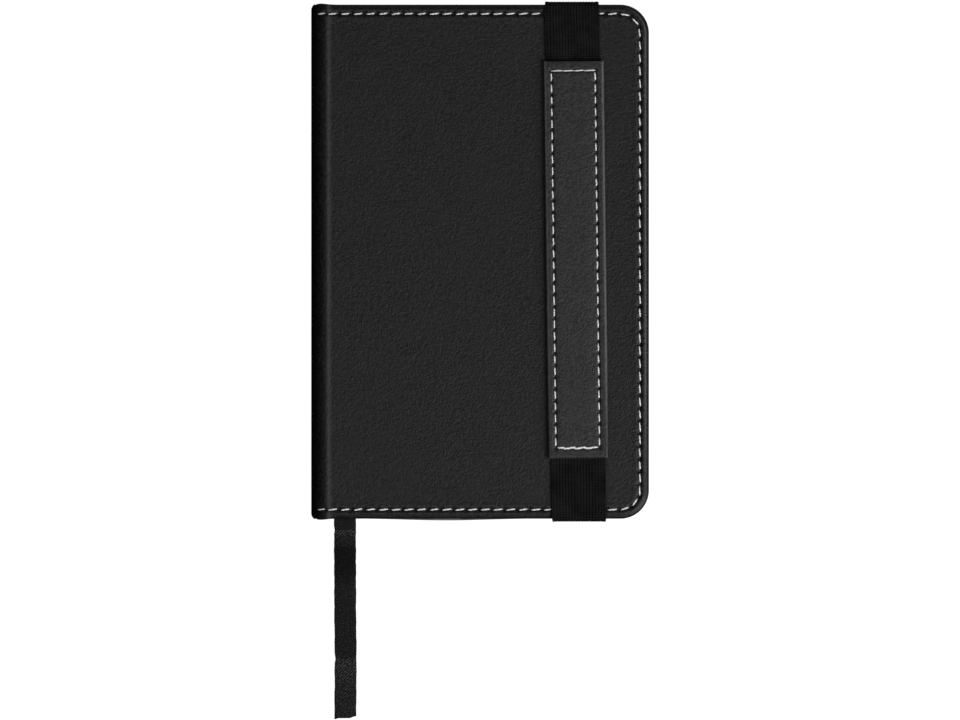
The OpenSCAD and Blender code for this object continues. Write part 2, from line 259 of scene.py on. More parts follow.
def noise(tree, place, size, detail=3.0, roughness=0.5):
    node = add(tree, "ShaderNodeTexNoise", Scale=1 / size, Detail=detail, Roughness=roughness)
    tree.links.new(place, node.inputs["Vector"])
    return node.outputs["Fac"]


def blend_values(tree, first, second, share):
    node = add(tree, "ShaderNodeMix", data_type="FLOAT")
    node.inputs[0].default_value = share
    tree.links.new(first, node.inputs[2])
    tree.links.new(second, node.inputs[3])
    return node.outputs[0]


def combine(tree, operation, first, second):
    node = add(tree, "ShaderNodeMath", operation=operation)
    tree.links.new(first, node.inputs[0])
    if isinstance(second, float):
        node.inputs[1].default_value = second
    else:
        tree.links.new(second, node.inputs[1])
    return node.outputs[0]


def leatherette(name, dark, light, grain, roughness, specular):
    """Pebbled leatherette: fine cells with creases between them, soft mottling, duller creases, and painted
    highlights as a lighter colour where a mesh attribute marks them.
    """
    material, tree, shader = new_material(name, roughness)
    shader.inputs["Specular IOR Level"].default_value = specular
    # painted highlight: the light grey that the colour is lifted towards where the mesh attribute marks it
    highlight_tone = (0.2, 0.2, 0.204, 1)
    place = add(tree, "ShaderNodeTexCoord").outputs["Object"]
    wobble = add(tree, "ShaderNodeTexNoise", Scale=1 / (1.6 * grain), Detail=2.0)
    tree.links.new(place, wobble.inputs["Vector"])
    shifted = add(tree, "ShaderNodeVectorMath", operation="MULTIPLY_ADD")
    shifted.inputs[1].default_value = (grain * 0.7,) * 3
    tree.links.new(wobble.outputs["Color"], shifted.inputs[0])
    tree.links.new(place, shifted.inputs[2])
    cells = add(tree, "ShaderNodeTexVoronoi", feature="SMOOTH_F1", Scale=1 / grain, Smoothness=0.35)
    tree.links.new(shifted.outputs["Vector"], cells.inputs["Vector"])
    pebble = cells.outputs["Distance"]
    cluster = noise(tree, place, 1.0 * MM, 3.0)
    fine = noise(tree, place, 0.16 * MM)
    broad = noise(tree, place, 9 * MM, 4.0)
    tone = blend_values(tree, blend_values(tree, pebble, cluster, 0.5), broad, 0.15)
    # painted highlight: a lighter colour mixed in by the attribute and broken up by the grain, in place of
    # reflected light
    painted_highlight = add(tree, "ShaderNodeAttribute", attribute_name="painted_highlight").outputs["Fac"]
    highlight_mix = add(tree, "ShaderNodeMix", data_type="RGBA")
    highlight_mix.inputs[7].default_value = highlight_tone
    tree.links.new(combine(tree, "MULTIPLY", painted_highlight, blend_values(tree, fine, cluster, 0.4)), highlight_mix.inputs[0])
    tree.links.new(ramp(tree, tone, [(0.33, dark), (0.62, light)]), highlight_mix.inputs[6])
    tree.links.new(highlight_mix.outputs[2], shader.inputs["Base Color"])
    dull = blend_values(tree, pebble, broad, 0.3)
    gloss = ramp(tree, dull, [(0.15, roughness - 0.05), (0.75, roughness + 0.12)])
    tree.links.new(gloss, shader.inputs["Roughness"])
    bump_chain(tree, shader, [(pebble, 0.9, -0.09 * MM), (cluster, 0.7, 0.12 * MM), (fine, 0.7, 0.04 * MM),
                              (broad, 0.3, 0.12 * MM)])
    return material


def thread_material(name, shadow, light):
    """Twisted thread: slanting plies, with fibres showing as fine noise."""
    material, tree, shader = new_material(name, 0.62)
    shader.inputs["Sheen Weight"].default_value = 0.3
    place = add(tree, "ShaderNodeTexCoord").outputs["Object"]
    plies = bands(tree, place, "DIAGONAL", 0.45 * MM)
    fibres = noise(tree, place, 0.12 * MM, 2.0)
    tone = blend_values(tree, plies, fibres, 0.5)
    tree.links.new(ramp(tree, tone, [(0.15, shadow), (0.6, light)]), shader.inputs["Base Color"])
    bump_chain(tree, shader, [(plies, 0.5, 0.05 * MM), (fibres, 0.3, 0.02 * MM)])
    return material


def webbing_material():
    """Ribbed elastic: picks across the band over the cords that run along it."""
    material, tree, shader = new_material("elastic_webbing", 0.66)
    shader.inputs["Specular IOR Level"].default_value = 0.015
    place = add(tree, "ShaderNodeUVMap").outputs["UV"]
    picks = bands(tree, place, "Y", PICK_PITCH, 0.4)
    shifted = add(tree, "ShaderNodeVectorMath", operation="ADD")
    shifted.inputs[1].default_value = (RIB_PITCH / 2, 0, 0)
    tree.links.new(place, shifted.inputs[0])
    cords = bands(tree, shifted.outputs["Vector"], "X", RIB_PITCH)
    patch = noise(tree, place, 4 * MM)
    weave = combine(tree, "MULTIPLY", combine(tree, "MULTIPLY", picks, cords), patch)
    fuzz = noise(tree, place, 0.35 * MM)
    wear = noise(tree, place, 6 * MM)
    tone = blend_values(tree, blend_values(tree, weave, fuzz, 0.3), wear, 0.25)
    tree.links.new(ramp(tree, tone, [(0.16, (0.0001, 0.0001, 0.0001)), (0.45, (0.02, 0.02, 0.0206))]),
                   shader.inputs["Base Color"])
    bump_chain(tree, shader, [(picks, 0.7, 0.10 * MM), (fuzz, 0.4, 0.05 * MM)])
    return material


def ribbon_material():
    """Woven ribbon: a fine twill, with painted glints here and there in its colour, and more beyond an old
    fold.
    """
    span = 60 * MM
    material, tree, shader = new_material("ribbon_satin", 0.5)
    shader.inputs["Specular IOR Level"].default_value = 0.09
    place = add(tree, "ShaderNodeUVMap").outputs["UV"]
    twill = bands(tree, place, "DIAGONAL", 0.6 * MM, 1.5)
    picks = bands(tree, place, "Y", 0.5 * MM)
    sparkle = noise(tree, place, 0.5 * MM, 3.0, 0.7)
    split = add(tree, "ShaderNodeSeparateXYZ")
    tree.links.new(place, split.inputs[0])
    along = combine(tree, "DIVIDE", split.outputs["Y"], span)
    first, second = (fold / span for fold in RIBBON_FOLDS)
    # painted glints: the colour is lifted in speckles, most just past each old fold, in place of light caught
    # by the weave
    painted_glint = ramp(tree, along, [
        (0, 0.2), (first - 0.003, 0.2), (first, 1.0), (first + 0.04, 0.4), (first + 0.1, 0.2),
        (second - 0.003, 0.25), (second, 1.0), (second + 0.06, 0.9), (second + 0.14, 0.5), (1, 0.35)])
    painted_sparkle = combine(tree, "MULTIPLY", ramp(tree, sparkle, [(0.45, 0), (0.68, 1)]), twill)
    tone = combine(tree, "MULTIPLY", painted_sparkle, painted_glint)
    tree.links.new(ramp(tree, tone, [(0, (0.0042, 0.0042, 0.0044)), (0.7, (0.11, 0.11, 0.112))]),
                   shader.inputs["Base Color"])
    tree.links.new(ramp(tree, sparkle, [(0.35, 0.62), (0.7, 0.36)]), shader.inputs["Roughness"])
    bump_chain(tree, shader, [(twill, 0.4, 0.04 * MM), (picks, 0.3, 0.03 * MM), (sparkle, 0.5, 0.05 * MM)])
    return material


def paper_material(name, dark, light, ruled):
    """Uncoated paper: fibre mottling, and ruled lines on the writing pages."""
    half_spacing, half_line = 3.5 * MM, 0.09 * MM
    material, tree, shader = new_material(name, 0.85)
    shader.inputs["Specular IOR Level"].default_value = 0.25
    place = add(tree, "ShaderNodeTexCoord").outputs["Object"]
    fibres = noise(tree, place, 0.5 * MM, 6.0, 0.65)
    colour = ramp(tree, fibres, [(0.3, dark), (0.7, light)])
    if ruled:
        split = add(tree, "ShaderNodeSeparateXYZ")
        tree.links.new(place, split.inputs[0])
        rows = combine(tree, "PINGPONG", split.outputs["Y"], half_spacing)
        line = combine(tree, "LESS_THAN", rows, half_line)
        mix = add(tree, "ShaderNodeMix", data_type="RGBA")
        mix.inputs[7].default_value = (0.36, 0.39, 0.42, 1)
        tree.links.new(line, mix.inputs[0])
        tree.links.new(colour, mix.inputs[6])
        colour = mix.outputs[2]
    tree.links.new(colour, shader.inputs["Base Color"])
    bump_chain(tree, shader, [(fibres, 0.15, 0.02 * MM)])
    return material


def board_material():
    """Greyboard: pressed fibres with darker flecks."""
    material, tree, shader = new_material("greyboard", 0.92)
    place = add(tree, "ShaderNodeTexCoord").outputs["Object"]
    fibres = noise(tree, place, 0.8 * MM, 8.0, 0.7)
    tree.links.new(ramp(tree, fibres, [(0.3, (0.16, 0.15, 0.12)), (0.65, (0.36, 0.33, 0.27))]),
                   shader.inputs["Base Color"])
    bump_chain(tree, shader, [(fibres, 0.4, 0.06 * MM)])
    return material


def cloth_material(name, dark, light, pitch):
    """Plain weave of threads in two directions."""
    material, tree, shader = new_material(name, 0.85)
    place = add(tree, "ShaderNodeTexCoord").outputs["Object"]
    weave = combine(tree, "MAXIMUM", bands(tree, place, "Y", pitch), bands(tree, place, "Z", pitch))
    tree.links.new(ramp(tree, weave, [(0.3, dark), (0.9, light)]), shader.inputs["Base Color"])
    bump_chain(tree, shader, [(weave, 0.6, 0.08 * MM)])
    return material


MATERIALS = {
    "cover_leatherette": leatherette("cover_leatherette", (0.0003, 0.0003, 0.0003), (0.0135, 0.0135, 0.014),
                                     0.5 * MM, 0.42, 0.255),
    "panel_leatherette": leatherette("panel_leatherette", (0.003, 0.003, 0.0031), (0.026, 0.026, 0.0268),
                                     0.5 * MM, 0.44, 0.34),
    "white_thread": thread_material("white_thread", (0.7, 0.7, 0.69), (0.97, 0.97, 0.95)),
    "book_thread": thread_material("book_thread", (0.5, 0.48, 0.42), (0.85, 0.83, 0.76)),
    "elastic_webbing": webbing_material(),
    "ribbon_satin": ribbon_material(),
    "page_paper": paper_material("page_paper", (0.70, 0.655, 0.53), (0.80, 0.76, 0.65), True),
    "endpaper": paper_material("endpaper", (0.66, 0.61, 0.48), (0.77, 0.72, 0.59), False),
    "greyboard": board_material(),
    "spine_cloth": cloth_material("spine_cloth", (0.35, 0.33, 0.27), (0.72, 0.69, 0.60), 0.5 * MM),
    "band_cloth": cloth_material("band_cloth", (0.012, 0.012, 0.013), (0.05, 0.05, 0.055), 0.35 * MM),
}


def mark_painted_highlight(obj, strength):
    """Keeps how strong the painted highlight is at each point of the leatherette, for its material."""
    layer = obj.data.attributes.new("painted_highlight", "FLOAT", "POINT")
    places = np.empty(len(obj.data.vertices) * 3)
    obj.data.vertices.foreach_get("co", places)
    layer.data.foreach_set("value", strength(*places.reshape(-1, 3).T))


def dress(obj, slot):
    """Gives a piece its material and names the record's slot that it comes from."""
    obj.data.materials.clear()
    obj.data.materials.append(MATERIALS[slot])
    return obj


def dress_cad_nodes():
    """Materials for the CAD nodes that show as they are."""
    for row in frame["record"]["subparts"]:
        node = frame["nodes"][row["node"]]
        for slot in node.material_slots:
            slot.material = MATERIALS[row["material_slot"]]


dress_cad_nodes()


# ------------ ribbon: the free end first
# each point: mm to the side, mm out from the tail edge, and the share of the drop that is still to come
RIBBON_ROUTE = [
    (0, 0, 1), (0, 2.7, 0.97), (0, 5.4, 0.89), (0, 7.8, 0.75), (0, 9.9, 0.58),
    (0, 11.6, 0.4), (0, 13.6, 0.24), (0, 15.9, 0.11), (0, 18.5, 0.03), (0, 21.3, 0),
    (0, 25, 0), (0.05, 29, 0), (0.1, 33, 0), (0.1, 37, 0), (0.1, 41, 0),
    (0.1, 45, 0), (0.05, 49, 0), (0.05, 53.6, 0),
]
RIBBON_X = -HALF_W + 9.2 * MM
RIBBON_EXIT_Y = -HALF_H - 0.8 * MM
RIBBON_REST_Z = RIBBON_T / 2 + 0.05 * MM
RIBBON_EXIT_Z = ribbon_high.z - RIBBON_T / 2


def ribbon_path():
    drop = RIBBON_EXIT_Z - RIBBON_REST_Z
    return [
        Vector((RIBBON_X + side * MM, RIBBON_EXIT_Y - out * MM, RIBBON_REST_Z + share * drop))
        for side, out, share in RIBBON_ROUTE
    ]


def spline(points, steps):
    """A smooth curve through the points, with a number of steps between each pair."""
    out = []
    ends = [points[0] * 2 - points[1], *points, points[-1] * 2 - points[-2]]
    for a, b, c, d in zip(ends, ends[1:], ends[2:], ends[3:]):
        square, cube = 2 * a - 5 * b + 4 * c - d, 3 * b - a - 3 * c + d
        for k in range(steps):
            t = k / steps
            out.append(0.5 * (2 * b + (c - a) * t + square * t * t + cube * t ** 3))
    out.append(points[-1].copy())
    return out


def make_ribbon_tail():
    """Flat woven ribbon: soft edges, two old folds, a slight cup across it and an uneven cut end."""
    fold_run, fold_lift, fold_nick = 0.7 * MM, 0.16 * MM, 0.22 * MM
    cup_run, cup_depth = 9 * MM, 0.10 * MM
    route = ribbon_path()
    line = spline(route, 5)
    side = Vector((1, 0, 0))
    rings, uvs = [], []
    travelled = 0.0
    for i, point in enumerate(line):
        if i:
            travelled += (point - line[i - 1]).length
        tangent = (line[min(i + 1, len(line) - 1)] - line[max(i - 1, 0)]).normalized()
        up = side.cross(tangent).normalized() * -1
        if up.z < 0:
            up.negate()
        run = travelled / MM
        half = RIBBON_W / 2 * (1 + 0.012 * math.sin(run * 0.9) + 0.008 * math.sin(run * 2.3 + 1))
        near = sum(math.exp(-((travelled - fold) / fold_run) ** 2) for fold in RIBBON_FOLDS)
        cup = cup_depth * math.sin(travelled / cup_run)
        top, bottom = [], []
        for a in np.linspace(-1, 1, 13):
            edge = 1 - abs(a) ** 8 * 0.6
            wave = cup * (1 - a * a) + fold_lift * near * (0.4 + 0.6 * abs(a))
            x = a * half + (fold_nick * near if a < -0.9 else 0)
            end_cut = 0.0
            if i == len(line) - 1:
                end_cut = 0.25 * MM * math.sin(a * 5) - 0.2 * MM * a
            base = point + side * x + up * max(wave, 0.0) + tangent * end_cut
            top.append((base + up * RIBBON_T * 0.4 * edge, (x, travelled)))
            bottom.append((base - up * RIBBON_T * 0.4 * edge, (x, travelled)))
        ring = top + bottom[::-1]
        rings.append([p for p, _ in ring])
        uvs.append([u for _, u in ring])
    bm = bmesh.new()
    rows = skin_rings(bm, rings)
    places = {vert: uv for row, ring_uvs in zip(rows, uvs) for vert, uv in zip(row, ring_uvs)}
    map_uvs(bm, places.get)
    tail = dress(finish_mesh("ribbon_free_end", bm, sharp_deg=60, merge=1e-7), "ribbon_satin")
    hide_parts("ribbon_tail")
    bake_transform(tail)


make_ribbon_tail()


def make_ribbon_inside():
    """The hidden stretch: from the spine near the head, on a slant, then straight down to the tail edge."""
    low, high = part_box("ribbon_marker")
    side = RIBBON_W / 2
    turn_y = HALF_H - 20 * MM
    straight = [RIBBON_EXIT_Y] + [y * MM for y in range(-65, 45, 5)]
    lines = [((RIBBON_X - side, y), (RIBBON_X + side, y)) for y in straight]
    start = ((RIBBON_X - side, turn_y - RIBBON_W), (RIBBON_X + side, turn_y))
    finish = ((low.x, high.y - RIBBON_W - 2 * MM), (low.x, high.y))
    for k in range(5):
        lines.append(tuple(between(a, b, k / 4) for a, b in zip(start, finish)))
    rings = []
    for left, right in lines:
        points = [between(left, right, k / 6) for k in range(7)]
        upper = [Vector((x, y, high.z)) for x, y in points]
        rings.append(upper + [Vector((x, y, low.z)) for x, y in reversed(points)])
    bm = bmesh.new()
    skin_rings(bm, rings)
    map_uvs(bm, lambda vert: (vert.co.x - RIBBON_X, vert.co.y - RIBBON_EXIT_Y))
    inside = dress(finish_mesh("ribbon_inside", bm, sharp_deg=60, merge=1e-8), "ribbon_satin")
    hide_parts("ribbon_marker")
    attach(inside, "book_block")


make_ribbon_inside()


# ------------ covers
def edge_distance(x, y):
    """Distance in from a cover's head, tail and fore-edge, round its corners."""
    y = np.abs(y)
    plain = np.minimum(HALF_W - x, HALF_H - y)
    cx, cy = HALF_W - CORNER_R, HALF_H - CORNER_R
    round_part = CORNER_R - np.hypot(x - cx, y - cy)
    return np.where((x > cx) & (y > cy), round_part, plain)


def shoulder_height(x):
    """Height of the outer face over the inner face, rolling down towards the spine."""
    run = np.clip(SHOULDER_X - x, 0, SHOULDER_R)
    return SHOULDER_Z + np.sqrt(SHOULDER_R ** 2 - run ** 2)


STITCH_R = CORNER_R - STITCH_INSET
STITCH_CX = HALF_W - CORNER_R
STITCH_CY = HALF_H - CORNER_R
FIRST_STITCH_X = -HALF_W + 0.6 * MM
EDGE_RUN = STITCH_CX - FIRST_STITCH_X
CORNER_RUN = math.pi / 2 * STITCH_R
SIDE_RUN = 2 * STITCH_CY
STITCH_RUN = 2 * EDGE_RUN + 2 * CORNER_RUN + SIDE_RUN
STITCH_COUNT = round(STITCH_RUN / STITCH_PITCH)
STITCH_STEP = STITCH_RUN / STITCH_COUNT


def stitch_line(s):
    """Point and direction at a distance along the stitch line, which runs from head to tail."""
    if s < EDGE_RUN:
        return FIRST_STITCH_X + s, HALF_H - STITCH_INSET, 0.0
    s -= EDGE_RUN
    if s < CORNER_RUN:
        a = s / STITCH_R
        return STITCH_CX + STITCH_R * math.sin(a), STITCH_CY + STITCH_R * math.cos(a), -a
    s -= CORNER_RUN
    if s < SIDE_RUN:
        return HALF_W - STITCH_INSET, STITCH_CY - s, -math.pi / 2
    s -= SIDE_RUN
    if s < CORNER_RUN:
        a = s / STITCH_R
        return STITCH_CX + STITCH_R * math.cos(a), -STITCH_CY - STITCH_R * math.sin(a), -math.pi / 2 - a
    s -= CORNER_RUN
    return STITCH_CX - s, -HALF_H + STITCH_INSET, -math.pi


HOLES = [stitch_line(k * STITCH_STEP)[:2] for k in range(STITCH_COUNT)]


def nearest_hole(x, y, holes):
    """Square of the distance from each place to the needle hole that is nearest to it."""
    gap = np.full(x.shape, 1e9)
    for hole_x, hole_y in holes:
        gap = np.minimum(gap, (x - hole_x) ** 2 + (y - hole_y) ** 2)
    return gap


def pucker(x, y, groove_d):
    """How far the stitch line and its needle holes pull the leatherette down, between two faint rims."""
    groove_r, hole_d, hole_r, deepest = 0.45 * MM, 0.55 * MM, 0.5 * MM, 0.5 * MM
    rim_h, rim_off, rim_r = 0.05 * MM, 1.0 * MM, 0.4 * MM
    across = edge_distance(x, y) - STITCH_INSET
    groove = groove_d * np.exp(-(across / groove_r) ** 2)
    near = np.abs(across) < 1.4 * MM
    hole = np.zeros_like(x)
    if near.any():
        hole[near] = hole_d * np.exp(-nearest_hole(x[near], y[near], HOLES) / hole_r ** 2)
    rim = rim_h * np.exp(-((np.abs(across) - rim_off) / rim_r) ** 2)
    return np.minimum(groove + hole - rim, deepest)


def cap_bulge(x):
    """The turned-over leatherette stands a little proud at the ends of the spine."""
    height, from_spine, reach = 0.3 * MM, 2.6 * MM, 2.2 * MM
    return height * np.exp(-((x + HALF_W - from_spine) / reach) ** 2)


def tail_bow(x):
    """The back cover is cut a little full at the tail, and shows past the front one."""
    return 0.55 * MM * np.exp(-((x + 0.2 * HALF_W) / (0.35 * HALF_W)) ** 2)


def outer_height(x, y, groove_d):
    """Height of the outer face over the inner face: a low slope, then a tighter round at the edge."""
    slope_start, least = 0.12 * MM, 0.02 * MM
    inward = edge_distance(x, y)
    drop_run = np.clip(EDGE_R - inward, 0, EDGE_R)
    sloped = EDGE_SLOPE_IN - inward
    drop = EDGE_R - np.sqrt(EDGE_R ** 2 - drop_run ** 2)
    drop = drop + EDGE_SLOPE / 2 * (sloped + np.hypot(sloped, slope_start))
    return np.maximum(shoulder_height(x) - drop - pucker(x, y, groove_d), least)


def cover_outline(in_spine, in_edge):
    """Closed outline of a cover moved in by two distances, always with the same number of points."""
    step, spine_n, small_n = 0.36 * MM, 60, 8
    x0, x1, y1 = HINGE_X + in_spine, HALF_W - in_edge, HALF_H - in_edge
    fore = max(CORNER_R - in_edge, 0.4 * MM)
    near = max(SPINE_CORNER_R - max(in_spine, in_edge), 0.1 * MM)
    long_n = round((2 * HALF_W - CORNER_R) / step)
    arc_n = round(math.pi / 2 * CORNER_R / step)
    side_n = round(2 * (HALF_H - CORNER_R) / step)
    points = []

    def line(a, b, count):
        points.extend(between(a, b, k / count) for k in range(count))

    def arc(cx, cy, r, start, count):
        for k in range(count):
            a = math.radians(start + 90 * k / count)
            points.append((cx + r * math.cos(a), cy + r * math.sin(a)))

    line((x0 + near, -y1), (x1 - fore, -y1), long_n)
    arc(x1 - fore, -y1 + fore, fore, -90, arc_n)
    line((x1, -y1 + fore), (x1, y1 - fore), side_n)
    arc(x1 - fore, y1 - fore, fore, 0, arc_n)
    line((x1 - fore, y1), (x0 + near, y1), long_n)
    arc(x0 + near, y1 - near, near, 90, small_n)
    line((x0, y1 - near), (x0, -y1 + near), spine_n)
    arc(x0 + near, -y1 + near, near, 180, small_n)
    return np.array(points)


# rings of points over the outer face, in mm from the edges and from the spine: close where the form turns
RINGS_IN_EDGE = [0, 0.03, 0.1, 0.2, 0.34, 0.48, 0.62, 0.8, 0.96, 1.08, 1.2, 1.34, 1.48, 1.62, 1.8, 1.97,
                 2.12, 2.26, 2.4, 2.55, 2.7, 2.84, 2.98, 3.15, 3.35, 3.6, 4.1, 5.2]
RINGS_IN_SPINE = [0, 0.03, 0.07, 0.12, 0.18, 0.25, 0.33, 0.42, 0.51, 0.6, 0.69, 0.78, 0.88, 0.99, 1.12, 1.31,
                  1.5, 1.7, 1.9, 2.1, 2.3, 2.5, 2.7, 2.9, 3.15, 3.5, 4.1, 5.2]


def cover_painted_highlight(x, y, z):
    """Painted highlights of a cover: front of the shoulder, rim of the fore-edge, and the back cover's full
    tail.
    """
    shoulder = 0.42 * np.exp(-((x - SHOULDER_X - 0.15 * MM) / (0.5 * MM)) ** 2)
    rim = 0.8 * np.exp(-((edge_distance(x, y) - 0.95 * MM) / (0.18 * MM)) ** 2)
    fade = 0.2 + 0.8 * smooth01((y + 0.9 * HALF_H) / (0.5 * HALF_H))
    tail = 1.6 * (y < -HALF_H - 0.1 * MM) * (x > SHOULDER_X + 3 * MM)
    return shoulder + rim * smooth01((x - STITCH_CX) / CORNER_R) * fade + tail


def make_cover_leather(name, node, outside_up):
    """Leatherette over a board: rolled shoulder, round edges, puckered stitch line and turned-in border."""
    outline = cover_outline(0, 0)
    groove_d = GROOVE_D if outside_up else GROOVE_D + BACK_SINK
    top_edge = outer_height(outline[:, 0], outline[:, 1], groove_d)

    def lift(plan, heights):
        """A ring over an outline, at heights over the inner face."""
        x, y = plan.T
        if not outside_up:
            y = y - tail_bow(x) * np.clip(-y / HALF_H, 0, 1) ** 6
        z = cover_low.z + heights if outside_up else back_high.z - heights
        return [Vector(point) for point in zip(x, y, z)]

    def with_bulge(plan, share):
        moved = plan.copy()
        at_end = np.abs(plan[:, 1]) > HALF_H - 1.6 * MM
        moved[:, 1] += np.sign(plan[:, 1]) * cap_bulge(plan[:, 0]) * share * at_end
        return moved

    # inner face: recess for the lining, turned-in border, then the lower round of the edge
    border = cover_outline(LINING_FROM_SPINE - (HINGE_X + HALF_W), TURN_IN)
    rings = [lift(border, np.full(len(border), height)) for height in (LINING_T, 0.0)]
    low_r = np.minimum(0.4 * MM, top_edge * 0.8)
    for inset, rise in ((0.4, 0.0), (0.15, 0.25), (0.03, 0.6)):
        plan = with_bulge(cover_outline(0.05 * MM * inset, inset * MM), 1)
        rings.append(lift(plan, low_r * rise))
    for t in (0.0, 0.5, 0.9):
        rings.append(lift(with_bulge(outline, 1), low_r + (top_edge - low_r) * t))
    for edge, spine in zip(RINGS_IN_EDGE, RINGS_IN_SPINE):
        plan = cover_outline(spine * MM, edge * MM)
        height = outer_height(plan[:, 0], plan[:, 1], groove_d)
        rings.append(lift(with_bulge(plan, max(0.0, 1 - edge / 1.2)), height))
    bm = bmesh.new()
    skin_rings(bm, rings)
    leather = dress(finish_mesh(name, bm), "cover_leatherette")
    # painted highlights: a lighter colour at the shoulder, the fore-edge rim and the back cover's tail
    mark_painted_highlight(leather, cover_painted_highlight)
    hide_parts(node)
    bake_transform(leather)


make_cover_leather("front_cover_leather", "front_cover_skin", True)
make_cover_leather("back_cover_leather", "back_cover_skin", False)


def shoulder_profile(centre_z, first_z, last_z, steps=5):
    """Points (x, z) along a stretch of a shoulder's roll."""
    heights = [first_z + (last_z - first_z) * k / steps for k in range(steps + 1)]
    return [(SHOULDER_X - math.sqrt(SHOULDER_R ** 2 - (z - centre_z) ** 2), z) for z in heights]


def make_spine_leather():
    """Leatherette down the spine: flat in the middle, rolling into both shoulders, with turned-over ends."""
    thick = 0.5 * MM
    centre_low, centre_high = SHOULDER_R, cover_high.z - SHOULDER_R
    profile = shoulder_profile(centre_low, back_high.z, centre_low)
    profile += [(-HALF_W, centre_low + (centre_high - centre_low) * k / 8) for k in range(1, 8)]
    profile += shoulder_profile(centre_high, centre_high, cover_low.z)
    loop = profile + [(x + thick, z) for x, z in reversed(profile)]
    half = HALF_H + 0.25 * MM
    # each station: its place and how many mm it is from the nearer end, or a large number well inside
    ends, inside = (0.0, 0.05, 0.2, 0.5, 1.0, 2.0), 9
    stations = [(-half + e * MM, e) for e in ends]
    stations += [(y * MM, inside) for y in range(-60, 61, 10)]
    stations += [(half - e * MM, e) for e in reversed(ends)]
    rings = []
    for y, inset in stations:
        tuck = thick * (1 - math.sqrt(max(0.0, 1 - max(0.0, 1 - inset) ** 2)))
        fade = math.exp(-inset) if inset < inside else 0.0
        ring = []
        for k, (x, z) in enumerate(loop):
            x_in = x + (tuck if k < len(profile) else 0)
            near = max(0.0, 1 - (x_in + HALF_W) / SPINE_ROUND)
            round_off = SPINE_ROUND * (1 - math.sqrt(max(0.0, 1 - near * near)))
            ring.append(Vector((x_in, y - math.copysign(round_off * fade, y), z)))
        rings.append(ring)
    bm = bmesh.new()
    skin_rings(bm, rings)
    spine = dress(finish_mesh("spine_leather", bm), "cover_leatherette")
    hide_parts("spine_cover")
    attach(spine, "book_block")


make_spine_leather()


# ------------ stitches
def add_stitch(bm, start, end, up, radius, height):
    """One stitch of twisted thread: it rises out of a needle hole, lies flat and dives into the next."""
    dive, twist, sides, steps = 0.2 * MM, 1.4, 10, 11
    forward = end - start
    length = forward.length
    forward.normalize()
    side = up.cross(forward).normalized()
    rings = []
    for i in range(steps + 1):
        t = i / steps
        arch = math.sin(math.pi * t) ** 0.45
        centre = start + forward * length * t + up * (height * arch - dive * (1 - arch))
        ring = []
        for k in range(sides):
            a = 2 * math.pi * k / sides
            lobes = 1 + 0.16 * math.cos(2 * (a - twist * 2 * math.pi * t))
            swell = radius * lobes * (0.62 + 0.38 * arch)
            ring.append(centre + side * math.cos(a) * swell + up * math.sin(a) * swell * 0.8)
        rings.append(ring)
    skin_rings(bm, rings)


def make_cover_stitching(name, node, body, outside_up):
    """The stitches round a cover, each a little off in length and slant."""
    half_share, slant, jitter, sunk = 0.345, 0.13 * MM, 0.04, 0.10 * MM
    bm = bmesh.new()
    for k in range(STITCH_COUNT):
        middle = (k + 0.5) * STITCH_STEP
        half = half_share * STITCH_STEP * random.uniform(0.92, 1.05)
        ends = []
        for sign in (-1, 1):
            x, y, a = stitch_line(middle + sign * half)
            offset = slant * sign + random.uniform(-jitter, jitter) * MM
            x -= math.sin(a) * offset
            y += math.cos(a) * offset
            h = shoulder_height(x) - sunk - (0 if outside_up else BACK_SINK)
            ends.append(Vector((x, y, cover_low.z + h if outside_up else back_high.z - h)))
        outward = Vector((0, 0, 1 if outside_up else -1))
        along = (ends[1] - ends[0]).normalized()
        up = (outward - along * outward.dot(along)).normalized()
        add_stitch(bm, *ends, up, 0.205 * MM, 0.12 * MM)
    thread = dress(finish_mesh(name, bm, sharp_deg=80, merge=1e-8), "white_thread")
    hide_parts(node)
    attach(thread, body)


make_cover_stitching("front_cover_thread", "front_stitching", "front_cover", True)
make_cover_stitching("back_cover_thread", "back_stitching", "back_cover", False)


# ------------ pages
def page_reach(x, fore_x, half_h):
    """Half height of a page at a place across it, round its fore-edge corners."""
    run = x - (fore_x - PAGE_CORNER_R)
    if run <= 0:
        return half_h
    return half_h - PAGE_CORNER_R + math.sqrt(max(PAGE_CORNER_R ** 2 - min(run, PAGE_CORNER_R) ** 2, 0))


def leaf_stations(fold_x, fore_x):
    """Places across a leaf from fore-edge to fold: close together in the corner and near the fold."""
    corner = [fore_x - PAGE_CORNER_R * (1 - math.cos(math.radians(a))) for a in range(0, 91, 10)]
    bend = [fold_x + d * MM for d in (22, 16, 12, 10, 8.5, 7, 5.5, 4, 2.8, 1.8, 1.0)]
    return corner + bend


